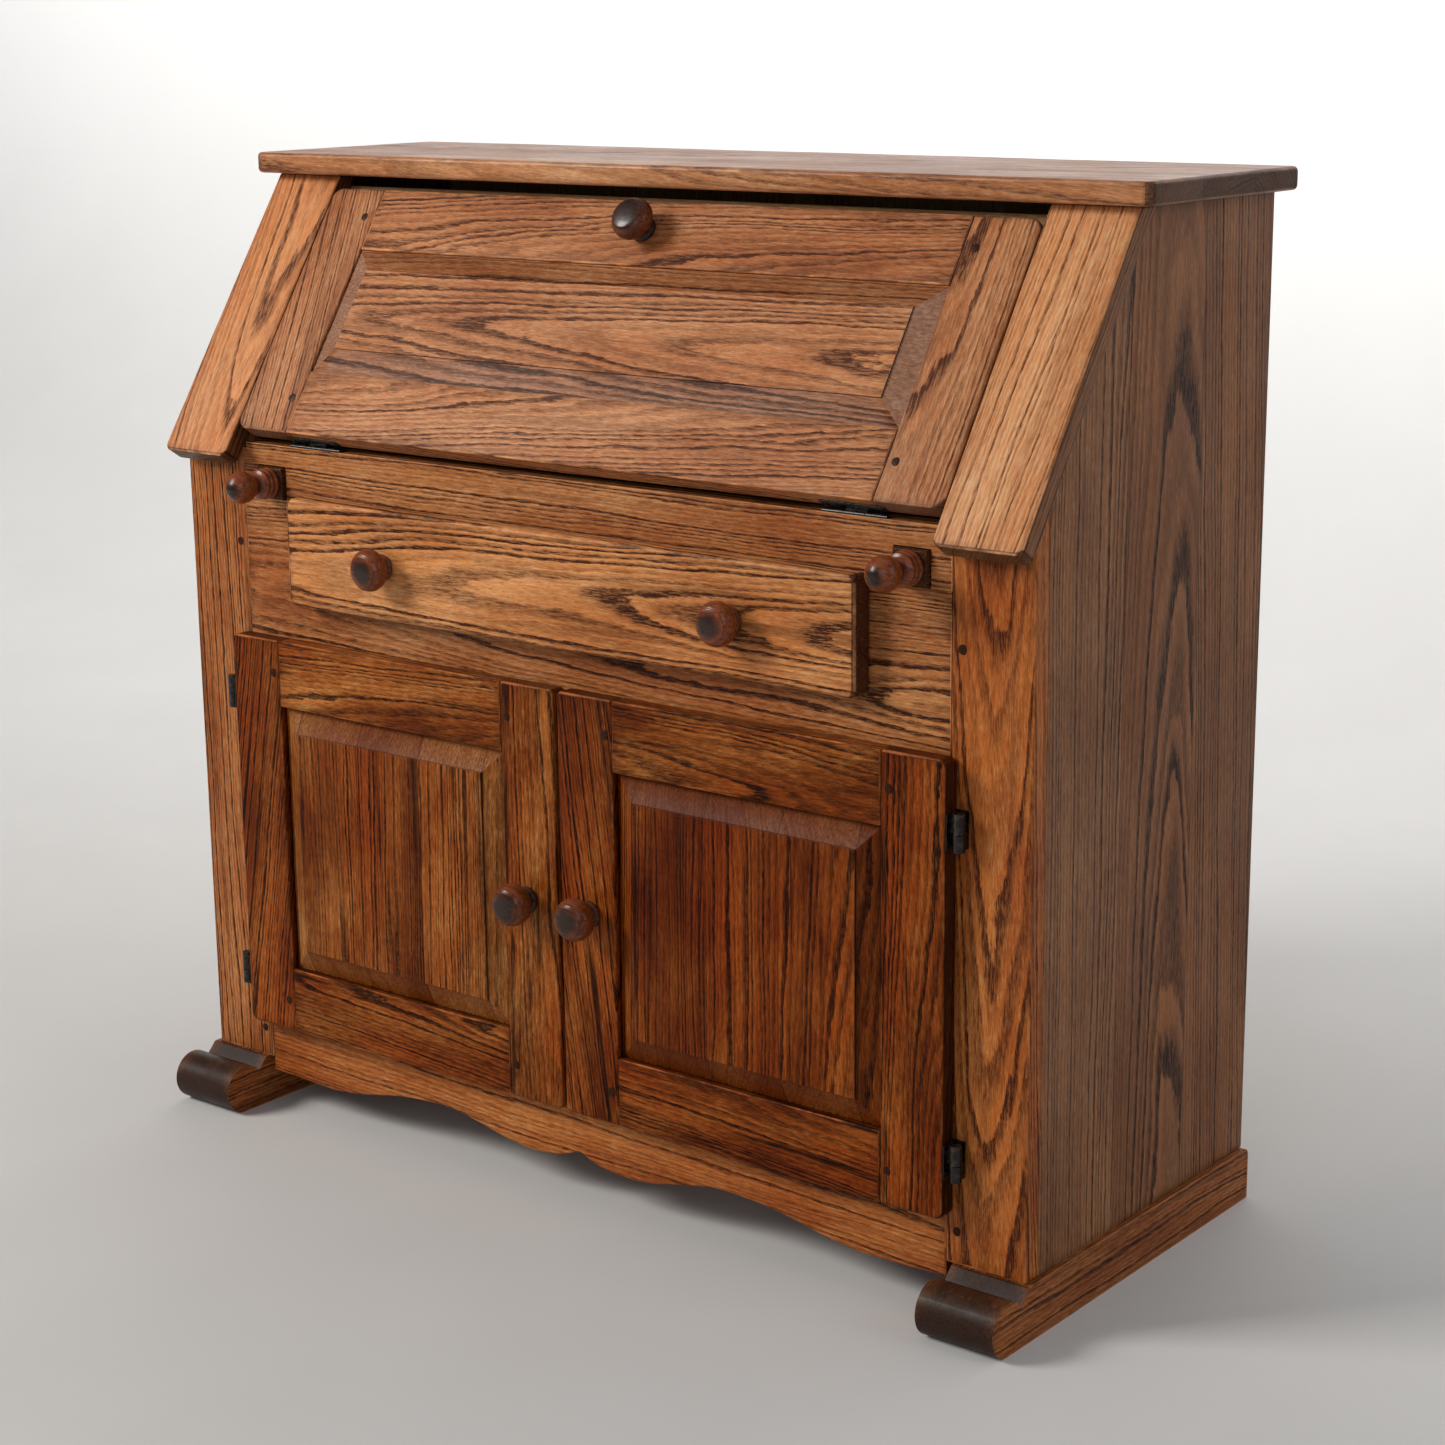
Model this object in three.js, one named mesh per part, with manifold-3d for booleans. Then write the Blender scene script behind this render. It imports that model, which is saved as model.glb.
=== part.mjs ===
// Secretary desk: a fall-front bureau with one drawer and a two-door cupboard, on sledge feet.
// Millimetres. X runs along the front, -Y faces the user, +Z is up, and the floor is z = 0.
// The pieces are placed with y = 0 on the front plane of the face frame; the whole group is then
// moved along Y so that the origin lies at the middle of the footprint.
import * as THREE from 'three';
import { mergeVertices } from 'three/addons/utils/BufferGeometryUtils.js';
import Module from 'manifold-3d';

const wasm = await Module();
wasm.setup();

// ---------- driving dimensions ----------
const GAP = 0.3;                     // between pieces that touch inside a turned group

const HEIGHT = 1010;                 // floor to the top surface
const TOP = { thick: 22, front: 134, back: 404, overhang: 23, corner: 9 };
const CASE = { half: 522, back: 398, side: 20 };        // outer half width, back edge, side thickness
const STILE = { width: 84, thick: 22 };
const RUNNER = { high: 53.5, wide: 82, proud: 6, back: 402, rollY: -36, rollR: 25.5, padFront: -3 };
const BACK_PANEL = { front: 388, thick: 8 };

const SLOPE = { angle: THREE.MathUtils.degToRad(56.3), y: -30.6, z: 714.6, thick: 22 };
const PILASTER_PROUD = 4;            // pilaster beyond the side's outer face
const FALL = { half: 434, low: 33.65, high: 313.6, stile: 72, rail: 70, knobAt: 280.5, corner: 12 };
const FALL_GAP = 0.8;                // between the fall and the pilasters
const FALL_PIN_DROP = 5.2;           // hinge pin below the fall's lower edge, along the slope
const FALL_HINGE = { x: 334, long: 70, r: 2.4, leaf: 0.9, deep: 12 };

const BED_Z = 725.6;                 // writing surface and top edge of the top rail
const BOARD = 20;                    // writing board thickness
const LOPER = { x: 396.5, wide: 38, low: 670, high: 703.5, face: -5, back: 330, knobAt: 687 };
const NOTCH_EASE = 0.5;              // room round a loper in the top rail
const DRAWER_OPEN = { half: 342, low: 577, high: 669.5 };
const DRAWER = { half: 354, low: 567, high: 678.4, face: -25, thick: 24, wall: 12, back: 350, ease: 1,
  corner: 9 };
const DRAWER_KNOB = { x: 217, z: 622 };
const MID_LOW = 515;                 // lower edge of the drawer surround, top of the cupboard opening
const APRON_TOP = 112;

const DOOR = { inner: 2.5, outer: 446.5, low: 101.5, high: 526.5, face: -21, thick: 19.5, frame: 68,
  innerCorner: 5, outerCorner: 8 };
const DOOR_RAIL = 70;
const DOOR_KNOB = { x: 40, z: 312 };
const DOOR_HINGE = { x: 456.5, y: -13.5, r: 5.4, tall: 34.5, split: 16, leaf: 1.2, pin: 2.5,
  zs: [444.7, 139.2] };

const GROOVE = { deep: 8, wide: 7 };  // in the frames' inner edges
const TONGUE = 7;                    // panel edge held in the groove
const BEVEL = 25;                    // sloped border of a raised panel
const QUIRK = 1.5;                   // small step round the raised field

// ---------- materials ----------
const wood = (color, roughness = 0.5) => new THREE.MeshStandardMaterial({ color, roughness, metalness: 0 });
const OAK_PALE = wood(0xc08a4e);
const OAK_WARM = wood(0xa8673a);
const OAK_DEEP = wood(0x80481f);
const OAK_SIDE = wood(0x6e4a35);
const OAK_TOP = wood(0x8a6248);
const INNER = wood(0xb89468, 0.7);
const DARK = wood(0x3a241b, 0.3);
const IRON = new THREE.MeshStandardMaterial({ color: 0x16130f, roughness: 0.45, metalness: 0.8 });
const CATCH = wood(0x4a3a2c, 0.6);

// ---------- geometry helpers ----------
const X = new THREE.Vector3(1, 0, 0);
const Y = new THREE.Vector3(0, 1, 0);
const Z = new THREE.Vector3(0, 0, 1);

// box between two corners
function box(x0, x1, y0, y1, z0, z1) {
  const shape = new THREE.BoxGeometry(x1 - x0, y1 - y0, z1 - z0);
  return shape.translate((x0 + x1) / 2, (y0 + y1) / 2, (z0 + z1) / 2);
}

function extrude(points, depth) {
  const outline = new THREE.Shape(points.map(([a, b]) => new THREE.Vector2(a, b)));
  return new THREE.ExtrudeGeometry(outline, { depth, bevelEnabled: false });
}

// prism with a (y, z) outline between two x planes
function prismX(points, x0, x1) {
  const solid = extrude(points, x1 - x0).translate(0, 0, x0);
  return solid.applyMatrix4(new THREE.Matrix4().makeBasis(Y, Z, X));
}

// prism with an (x, z) outline between two y planes
function prismY(points, y0, y1) {
  const solid = extrude(points, y1 - y0).translate(0, 0, -y1);
  return solid.applyMatrix4(new THREE.Matrix4().makeBasis(X, Z, Y.clone().negate()));
}

// board between two z planes whose outline is a rectangle; the corners at its left and right ends
// have their own radius, zero for square ones
function roundedBoard(x0, x1, y0, y1, z0, z1, left, right = left) {
  const corners = [[x1, y0, -right, right, -90], [x1, y1, -right, -right, 0],
    [x0, y1, left, -left, 90], [x0, y0, left, left, 180]];
  const outline = corners.flatMap(([x, y, inX, inY, start]) => {
    if (inX === 0) return [[x, y]];
    return [0, 15, 30, 45, 60, 75, 90].map((step) => {
      const turn = THREE.MathUtils.degToRad(start + step);
      const r = Math.abs(inX);
      return [x + inX + r * Math.cos(turn), y + inY + r * Math.sin(turn)];
    });
  });
  return extrude(outline, z1 - z0).translate(0, 0, z0);
}

// cylinder along X
function rodX(r, x0, x1, y, z, sides = 16) {
  const rod = new THREE.CylinderGeometry(r, r, x1 - x0, sides).rotateZ(Math.PI / 2);
  return rod.translate((x0 + x1) / 2, y, z);
}

// cylinder along Z
function rodZ(r, x, y, z0, z1, sides = 20) {
  const rod = new THREE.CylinderGeometry(r, r, z1 - z0, sides).rotateX(Math.PI / 2);
  return rod.translate(x, y, (z0 + z1) / 2);
}

function toManifold(geometry) {
  const bare = geometry.clone();
  bare.deleteAttribute('normal');
  bare.deleteAttribute('uv');
  const merged = mergeVertices(bare, 1e-4);
  const vertProperties = new Float32Array(merged.attributes.position.array);
  const triVerts = new Uint32Array(merged.index.array);
  return new wasm.Manifold(new wasm.Mesh({ numProp: 3, vertProperties, triVerts }));
}

function toGeometry(solid) {
  const mesh = solid.getMesh();
  const geometry = new THREE.BufferGeometry();
  geometry.setAttribute('position', new THREE.BufferAttribute(new Float32Array(mesh.vertProperties), 3));
  geometry.setIndex(new THREE.BufferAttribute(new Uint32Array(mesh.triVerts), 1));
  geometry.computeVertexNormals();
  return geometry;
}

function join(...pieces) {
  return toGeometry(pieces.map(toManifold).reduce((whole, piece) => whole.add(piece)));
}

function cut(body, ...tools) {
  return toGeometry(tools.map(toManifold).reduce((rest, tool) => rest.subtract(tool), toManifold(body)));
}

// solid made of rectangles stacked along Z; each layer is [half width, half height, z]
function stack(layers) {
  const positions = layers.flatMap(([w, h, z]) => [-w, -h, z, w, -h, z, w, h, z, -w, h, z]);
  const index = [0, 2, 1, 0, 3, 2];
  for (let layer = 0; layer < layers.length - 1; layer += 1) {
    for (let side = 0; side < 4; side += 1) {
      const a = layer * 4 + side;
      const b = layer * 4 + (side + 1) % 4;
      index.push(a, b, b + 4, a, b + 4, a + 4);
    }
  }
  const last = (layers.length - 1) * 4;
  index.push(last, last + 1, last + 2, last, last + 2, last + 3);
  const geometry = new THREE.BufferGeometry();
  geometry.setAttribute('position', new THREE.Float32BufferAttribute(positions, 3));
  geometry.setIndex(index);
  geometry.computeVertexNormals();
  return geometry;
}

const desk = new THREE.Group();

function add(parent, name, geometry, material) {
  const mesh = new THREE.Mesh(geometry, material);
  mesh.name = name;
  parent.add(mesh);
  return mesh;
}

const SIDES = [['left', -1], ['right', 1]];

// x range of a piece that runs from a to b on one side of the desk
const span = (sign, a, b) => (sign > 0 ? [a, b] : [-b, -a]);

// ---------- the slope that the fall and the pilasters lie on ----------
const RISE = Math.sin(SLOPE.angle);
const RUN = Math.cos(SLOPE.angle);

// point at distance u up the slope and v out of its face
const onSlope = (u, v) => [SLOPE.y + u * RUN - v * RISE, SLOPE.z + u * RISE + v * RUN];

// point of the plane at depth v where it crosses a height or a y plane
function slopeAtZ(z, v) {
  const [y0, z0] = onSlope(0, v);
  return [y0 + (z - z0) * RUN / RISE, z];
}

function slopeAtY(y, v) {
  const [y0, z0] = onSlope(0, v);
  return [y, z0 + (y - y0) * RISE / RUN];
}

// ---------- carcass ----------
const UNDER_TOP = HEIGHT - TOP.thick;
const INSIDE = CASE.half - CASE.side;          // half width between the sides
const FRAME_X = CASE.half - STILE.width;       // inner edge of the stiles
const BEHIND = -SLOPE.thick - GAP;             // plane just behind the sloping boards

function carcass() {
  const topHalf = CASE.half + TOP.overhang;
  const top = roundedBoard(-topHalf, topHalf, TOP.front, TOP.back, UNDER_TOP, HEIGHT, TOP.corner);
  add(desk, 'top_board', top, OAK_TOP);
  for (const [name, sign] of SIDES) {
    side(name, sign);
    runner(name, sign);
    guide(name, sign);
  }
  const deep = [STILE.thick, BACK_PANEL.front];
  const back = [BACK_PANEL.front, BACK_PANEL.front + BACK_PANEL.thick];
  add(desk, 'back_panel', box(-INSIDE, INSIDE, ...back, 92, UNDER_TOP), INNER);
  add(desk, 'writing_board', box(-INSIDE, INSIDE, ...deep, BED_Z - BOARD, BED_Z), OAK_WARM);
  add(desk, 'drawer_deck', box(-INSIDE, INSIDE, ...deep, 560, DRAWER_OPEN.low), INNER);
  add(desk, 'cupboard_floor', box(-INSIDE, INSIDE, ...deep, 92, 110), OAK_DEEP);
  add(desk, 'cupboard_shelf', box(-INSIDE, INSIDE, 60, BACK_PANEL.front, 300, 316), OAK_DEEP);
  add(desk, 'door_catch', box(-32, 32, 1, 21, MID_LOW - 12, MID_LOW), CATCH);
}

function side(name, sign) {
  const panel = [[STILE.thick, RUNNER.high], slopeAtY(STILE.thick, BEHIND), slopeAtZ(UNDER_TOP, BEHIND),
    [CASE.back, UNDER_TOP], [CASE.back, RUNNER.high]];
  add(desk, `side_${name}`, prismX(panel, ...span(sign, INSIDE, CASE.half)), OAK_SIDE);

  const stile = [[0, RUNNER.high], slopeAtY(0, BEHIND), slopeAtY(STILE.thick, BEHIND),
    [STILE.thick, RUNNER.high]];
  add(desk, `stile_${name}`, prismX(stile, ...span(sign, FRAME_X, CASE.half)), OAK_WARM);

  const x = span(sign, FALL.half + FALL_GAP, CASE.half + PILASTER_PROUD);
  const blank = roundedBoard(...x, 0, 400, -SLOPE.thick, 0, 8).rotateX(SLOPE.angle);
  blank.translate(0, SLOPE.y, SLOPE.z);
  const above = box(x[0] - 1, x[1] + 1, 0, CASE.back, UNDER_TOP, UNDER_TOP + 200);
  add(desk, `pilaster_${name}`, cut(blank, above), OAK_PALE);
}

// sledge foot: a flat-topped bar whose front end drops into a groove and then rolls over
function runner(name, sign) {
  const profile = [[RUNNER.back, 0], [RUNNER.back, RUNNER.high], [RUNNER.padFront, RUNNER.high]];
  for (let degrees = 36; degrees <= 270; degrees += 18) {
    const turn = THREE.MathUtils.degToRad(degrees);
    profile.push([RUNNER.rollY + RUNNER.rollR * Math.cos(turn), RUNNER.rollR * (1 + Math.sin(turn))]);
  }
  const outer = CASE.half + RUNNER.proud;
  add(desk, `runner_${name}`, prismX(profile, ...span(sign, outer - RUNNER.wide, outer)), OAK_DEEP);
}

// L-shaped guide: the upright keeps the drawer straight, the ledge carries the loper
function guide(name, sign) {
  const inner = DRAWER_OPEN.half + 0.5;
  const outer = inner + 18;
  const ledge = FRAME_X + 2;
  const top = BED_Z - BOARD;
  const bearing = LOPER.low - 0.5;
  const outline = [[inner, DRAWER_OPEN.low], [outer, DRAWER_OPEN.low], [outer, bearing - 18],
    [ledge, bearing - 18], [ledge, bearing], [outer, bearing], [outer, top], [inner, top]];
  const placed = outline.map(([x, z]) => [sign * x, z]);
  add(desk, `guide_${name}`, prismY(placed, STILE.thick, BACK_PANEL.front), INNER);
}

// ---------- face frame ----------
const PIN_V = -SLOPE.thick;                     // the pin lies in the plane of the fall's inner face
const PIN_U = FALL.low - FALL_PIN_DROP;
const [PIN_Y, PIN_Z] = onSlope(PIN_U, PIN_V);

function faceFrame() {
  add(desk, 'top_rail', topRail(), OAK_WARM);

  const open = DRAWER_OPEN;
  const surround = [[-FRAME_X, MID_LOW], [FRAME_X, MID_LOW], [FRAME_X, open.high], [open.half, open.high],
    [open.half, open.low], [-open.half, open.low], [-open.half, open.high], [-FRAME_X, open.high]];
  add(desk, 'drawer_surround', prismY(surround, 0, STILE.thick), OAK_WARM);
  add(desk, 'apron', prismY(apronOutline(), 0, STILE.thick), OAK_WARM);
}

// rail notched for the lopers, with a sinking for each hinge of the fall
function topRail() {
  const low = DRAWER_OPEN.high;
  const notchTop = LOPER.high + NOTCH_EASE;
  const near = LOPER.x - LOPER.wide / 2 - NOTCH_EASE;
  const far = LOPER.x + LOPER.wide / 2 + NOTCH_EASE;
  const shoulder = BED_Z - 6;                   // the rail's ends pass under the pilasters
  const outline = [[-FRAME_X, low], [-far, low], [-far, notchTop], [-near, notchTop], [-near, low],
    [near, low], [near, notchTop], [far, notchTop], [far, low], [FRAME_X, low],
    [FRAME_X, shoulder], [FALL.half, shoulder], [FALL.half, BED_Z],
    [-FALL.half, BED_Z], [-FALL.half, shoulder], [-FRAME_X, shoulder]];
  const sinkings = SIDES.map(([, sign]) => {
    const middle = sign * FALL_HINGE.x;
    const half = FALL_HINGE.long / 2 + 0.5;
    return box(middle - half, middle + half, 0.8, PIN_Y + FALL_HINGE.deep, BED_Z - 2.2, BED_Z + 1);
  });
  return cut(prismY(outline, 0, STILE.thick), ...sinkings);
}

// lower edge: an ogee arch each side of a small pointed notch
function apronOutline() {
  const half = [[0, 50.5], [26, 41.5], [60, 37.5], [92, 40], [128, 47.5], [165, 54.5], [200, 55.5],
    [250, 51], [300, 41], [350, 35.5], [FRAME_X, 38]];
  const curve = new THREE.SplineCurve(half.map(([x, z]) => new THREE.Vector2(x, z)));
  const right = curve.getPoints(30).map((point) => [point.x, point.y]);
  const left = right.slice(1).reverse().map(([x, z]) => [-x, z]);
  return [...left, ...right, [FRAME_X, APRON_TOP], [-FRAME_X, APRON_TOP]];
}

// ---------- behind the fall ----------
function interior() {
  const [y0, y1] = [205, BACK_PANEL.front];
  const shelfZ = 880;
  add(desk, 'pigeonhole_shelf', box(-INSIDE, INSIDE, y0, y1, shelfZ, shelfZ + 10), INNER);
  add(desk, 'pigeonhole_divider', box(-5, 5, y0 + 5, y1, BED_Z, shelfZ), INNER);
}

// ---------- turned knobs ----------
// Each profile is [radius, distance out from the face], from the seat to the tip.
const PULL_PROFILE = [[0, 0], [12.6, 0], [13.2, 2], [11, 5.4], [11, 7.6], [14.6, 10.2], [19.4, 14.2],
  [21, 18.6], [20.4, 23.6], [17.4, 28.6], [12, 31.2], [0, 32]];
const BALL_PROFILE = [[0, 0], [15.5, 0], [16.2, 2.5], [14.8, 5], [15.9, 8], [14.6, 10.8], [15.2, 13.6],
  [11, 16.5], [8.6, 20], [8.8, 23.5], [12.1, 27.5], [15, 32.5], [16, 38], [15, 43.5], [12, 48.6],
  [7, 52.4], [0, 54]];

// profile of a pull of the given length
const pullProfile = (long) => PULL_PROFILE.map(([r, out]) => [r, out * long / 32]);

function turned(profile) {
  return new THREE.LatheGeometry(profile.map(([r, out]) => new THREE.Vector2(r, out)), 20);
}

// knob whose axis points along -Y, seated at the given place
function knob(name, profile, x, y, z) {
  add(desk, name, turned(profile).rotateX(Math.PI), DARK).position.set(x, y, z);
}

// ---------- frame-and-panel work ----------
// Builds a frame in its own plane: x across, y up, and z = 0 on the face. Rails fit between the stiles.
function framedPanel(parent, name, size, material) {
  const { x0, x1, y0, y1, stile, rail, thick, sunk, proud, corners } = size;
  const front = -sunk;
  const back = front - GROOVE.wide;
  const openX = [x0 + stile, x1 - stile];
  const openY = [y0 + rail, y1 - rail];
  const slot = (xs, ys) => box(xs[0], xs[1], ys[0], ys[1], back, front);
  const high = [openY[0] - GROOVE.deep, openY[1] + GROOVE.deep];

  const stiles = [['left', x0, openX[0], [corners[0], 0], [openX[0] - GROOVE.deep, openX[0] + 1]],
    ['right', openX[1], x1, [0, corners[1]], [openX[1] - 1, openX[1] + GROOVE.deep]]];
  for (const [where, from, to, radii, grooveX] of stiles) {
    const board = roundedBoard(from, to, y0, y1, -thick, 0, ...radii);
    add(parent, `${name}_stile_${where}`, cut(board, slot(grooveX, high)), material);
  }
  const wide = [openX[0] - 1, openX[1] + 1];
  const rails = [['bottom', y0, openY[0], [openY[0] - GROOVE.deep, openY[0] + 1]],
    ['top', openY[1], y1, [openY[1] - 1, openY[1] + GROOVE.deep]]];
  for (const [where, from, to, grooveY] of rails) {
    const blank = box(openX[0] + GAP / 2, openX[1] - GAP / 2, from, to, -thick, 0);
    add(parent, `${name}_rail_${where}`, cut(blank, slot(wide, grooveY)), material);
  }
  const half = [(openX[1] - openX[0]) / 2, (openY[1] - openY[0]) / 2];
  const layer = (grow, z) => [half[0] + grow, half[1] + grow, z];
  const panel = stack([layer(TONGUE, back + 0.5), layer(TONGUE, front - GAP),
    layer(-2 * GAP, front - GAP), layer(-BEVEL, proud - QUIRK), layer(-BEVEL, proud)]);
  panel.translate((openX[0] + openX[1]) / 2, (openY[0] + openY[1]) / 2, 0);
  add(parent, `${name}_panel`, panel, material);
}

// ---------- fall ----------
function fall() {
  const plane = new THREE.Group();
  plane.position.set(0, SLOPE.y, SLOPE.z);
  plane.rotation.x = SLOPE.angle;
  desk.add(plane);

  const size = { x0: -FALL.half, x1: FALL.half, y0: FALL.low, y1: FALL.high, stile: FALL.stile,
    rail: FALL.rail, thick: SLOPE.thick, sunk: 3, proud: 4.5, corners: [FALL.corner, FALL.corner] };
  framedPanel(plane, 'fall', size, OAK_WARM);
  const pull = turned(pullProfile(34.5)).rotateX(Math.PI / 2);
  add(plane, 'fall_knob', pull, DARK).position.set(0, FALL.knobAt, GAP);

  const batten = box(-INSIDE, INSIDE, FALL.high - 18, FALL.high + 16, BEHIND - 18, BEHIND);
  add(plane, 'fall_stop', batten, INNER);

  for (const [name, sign] of SIDES) {
    fallHinge(plane, name, sign * FALL_HINGE.x);
  }
}

// butt hinge: the moving leaf lies on the fall's lower edge, the fixed leaf in the top rail
function fallHinge(plane, name, x) {
  const { long, r, leaf, deep } = FALL_HINGE;
  const [x0, x1] = [x - long / 2, x + long / 2];
  const third = long / 3;
  const seat = FALL.low - GAP;
  const bore = rodX(1.6, x0 - 1, x1 + 1, PIN_U, PIN_V, 12);
  const middle = [x0 + third + GAP, x1 - third - GAP];
  const moving = cut(join(
    box(x0, x1, seat - leaf, seat, PIN_V - 1, PIN_V + deep),
    box(...middle, PIN_U + 1, seat - leaf / 2, PIN_V - 1, PIN_V + 0.2),
    rodX(r, ...middle, PIN_U, PIN_V),
  ), bore);
  add(plane, `fall_hinge_leaf_${name}`, moving, IRON);

  const ends = [[x0, x0 + third], [x1 - third, x1]];
  const plateTop = BED_Z - GAP;
  const fixed = join(
    box(x0, x1, PIN_Y + r + 1, PIN_Y + deep - 1, plateTop - 1.5, plateTop),
    rodX(1.3, x0 + 2, x1 - 2, PIN_Y, PIN_Z, 12),
    ...ends.map((end) => rodX(r, ...end, PIN_Y, PIN_Z)),
    ...ends.map((end) => box(...end, PIN_Y + 0.5, PIN_Y + r + 2, plateTop - 1.5, plateTop)),
  );
  add(desk, `fall_hinge_plate_${name}`, fixed, IRON);
}

// ---------- lopers ----------
function lopers() {
  for (const [name, sign] of SIDES) {
    const x = span(sign, LOPER.x - LOPER.wide / 2, LOPER.x + LOPER.wide / 2);
    add(desk, `loper_${name}`, box(...x, LOPER.face, LOPER.back, LOPER.low, LOPER.high), DARK);
    knob(`loper_knob_${name}`, BALL_PROFILE, sign * LOPER.x, LOPER.face, LOPER.knobAt);
  }
}

// ---------- drawer ----------
function drawer() {
  const { half, low, high, face, thick, wall, back, ease, corner } = DRAWER;
  const rear = face + thick;
  const outer = DRAWER_OPEN.half - ease;
  const inner = outer - wall;
  const [boxLow, boxHigh] = [DRAWER_OPEN.low + ease, DRAWER_OPEN.high - 5];
  const front = roundedBoard(-half, half, low, high, -rear, -face, corner).rotateX(Math.PI / 2);
  add(desk, 'drawer_front', front, OAK_PALE);
  for (const [name, sign] of SIDES) {
    const x = span(sign, inner, outer);
    add(desk, `drawer_side_${name}`, box(...x, rear, back, boxLow, boxHigh), INNER);
    knob(`drawer_knob_${name}`, pullProfile(32), sign * DRAWER_KNOB.x, face, DRAWER_KNOB.z);
  }
  add(desk, 'drawer_bottom', box(-inner, inner, rear, back - wall, boxLow + 8, boxLow + 14), INNER);
  add(desk, 'drawer_back', box(-inner, inner, back - wall, back, boxLow + 8, boxHigh), INNER);
}

// ---------- doors ----------
function doors() {
  for (const [name, sign] of SIDES) {
    const plane = new THREE.Group();
    plane.position.set(0, DOOR.face, 0);
    plane.rotation.x = Math.PI / 2;
    desk.add(plane);
    const [x0, x1] = span(sign, DOOR.inner, DOOR.outer);
    const corners = sign > 0 ? [DOOR.innerCorner, DOOR.outerCorner] : [DOOR.outerCorner, DOOR.innerCorner];
    const size = { x0, x1, y0: DOOR.low, y1: DOOR.high, stile: DOOR.frame, rail: DOOR_RAIL,
      thick: DOOR.thick, sunk: 9, proud: 3, corners };
    framedPanel(plane, `door_${name}`, size, OAK_DEEP);
    knob(`door_${name}_knob`, pullProfile(37), sign * DOOR_KNOB.x, DOOR.face - GAP, DOOR_KNOB.z);
    DOOR_HINGE.zs.forEach((z, row) => doorHinge(`door_${name}_hinge_${['top', 'bottom'][row]}`, sign, z));
  }
}

// fixed half of a lift-off door hinge: leaf on the stile, the lower knuckle on its arm, and the pin
function doorHinge(name, sign, low) {
  const { x, y, r, tall, split, leaf, pin } = DOOR_HINGE;
  const knuckle = [low, low + split - GAP];
  const plate = box(...span(sign, x - 20, x + 1.5), -leaf, 0, low, low + tall);
  const arm = box(...span(sign, x - 1.5, x + 1.5), y, -leaf / 2, ...knuckle);
  const rods = [rodZ(r, sign * x, y, ...knuckle), rodZ(pin, sign * x, y, low + 2, low + tall - 2)];
  add(desk, name, join(plate, arm, ...rods), IRON);
}

carcass();
faceFrame();
interior();
fall();
lopers();
drawer();
doors();

// origin at the middle of the footprint, on the floor
desk.position.y = -(RUNNER.rollY - RUNNER.rollR + TOP.back) / 2;

export default desk;
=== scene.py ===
"""Looks of the secretary desk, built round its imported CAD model. Metres, +Z up, -Y is the front."""
import math
import random

import bmesh
import bpy
import numpy as np
from mathutils import Matrix, Vector, noise


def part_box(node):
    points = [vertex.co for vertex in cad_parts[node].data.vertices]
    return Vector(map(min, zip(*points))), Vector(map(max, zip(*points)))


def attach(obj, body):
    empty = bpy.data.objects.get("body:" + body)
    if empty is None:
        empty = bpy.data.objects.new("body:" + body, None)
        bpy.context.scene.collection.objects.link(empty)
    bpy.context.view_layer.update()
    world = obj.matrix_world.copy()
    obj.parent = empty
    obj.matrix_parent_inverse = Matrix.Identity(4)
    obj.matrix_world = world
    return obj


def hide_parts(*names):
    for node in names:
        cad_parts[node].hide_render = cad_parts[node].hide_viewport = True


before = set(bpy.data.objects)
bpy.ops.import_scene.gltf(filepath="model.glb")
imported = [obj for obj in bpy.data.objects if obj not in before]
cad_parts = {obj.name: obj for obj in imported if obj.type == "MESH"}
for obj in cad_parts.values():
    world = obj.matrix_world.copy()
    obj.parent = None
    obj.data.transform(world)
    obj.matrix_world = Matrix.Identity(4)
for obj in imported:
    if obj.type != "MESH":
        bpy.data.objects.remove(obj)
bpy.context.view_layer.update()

MM = 0.001
X, Y, Z = Vector((1, 0, 0)), Vector((0, 1, 0)), Vector((0, 0, 1))
SHIFT = -171.25 * MM                      # the face frame's front plane
SLOPE = math.radians(56.3)                # of the fall and the pilasters
UP = Vector((0, math.cos(SLOPE), math.sin(SLOPE)))        # up the slope
OUT = Vector((0, -math.sin(SLOPE), math.cos(SLOPE)))      # out of its face
SLOPE_FOOT = Vector((0, -30.6 * MM + SHIFT, 714.6 * MM))
SIDES = (("left", -1), ("right", 1))
WELD = 2e-5                               # CAD corners closer than this are one corner
UNSTRIPPED = 10.0                         # strip width of a piece that isn't glued up from strips
HINGE_RUB, FITTING_RUB = 0.35, 0.3        # how far the lacquer is rubbed


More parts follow.
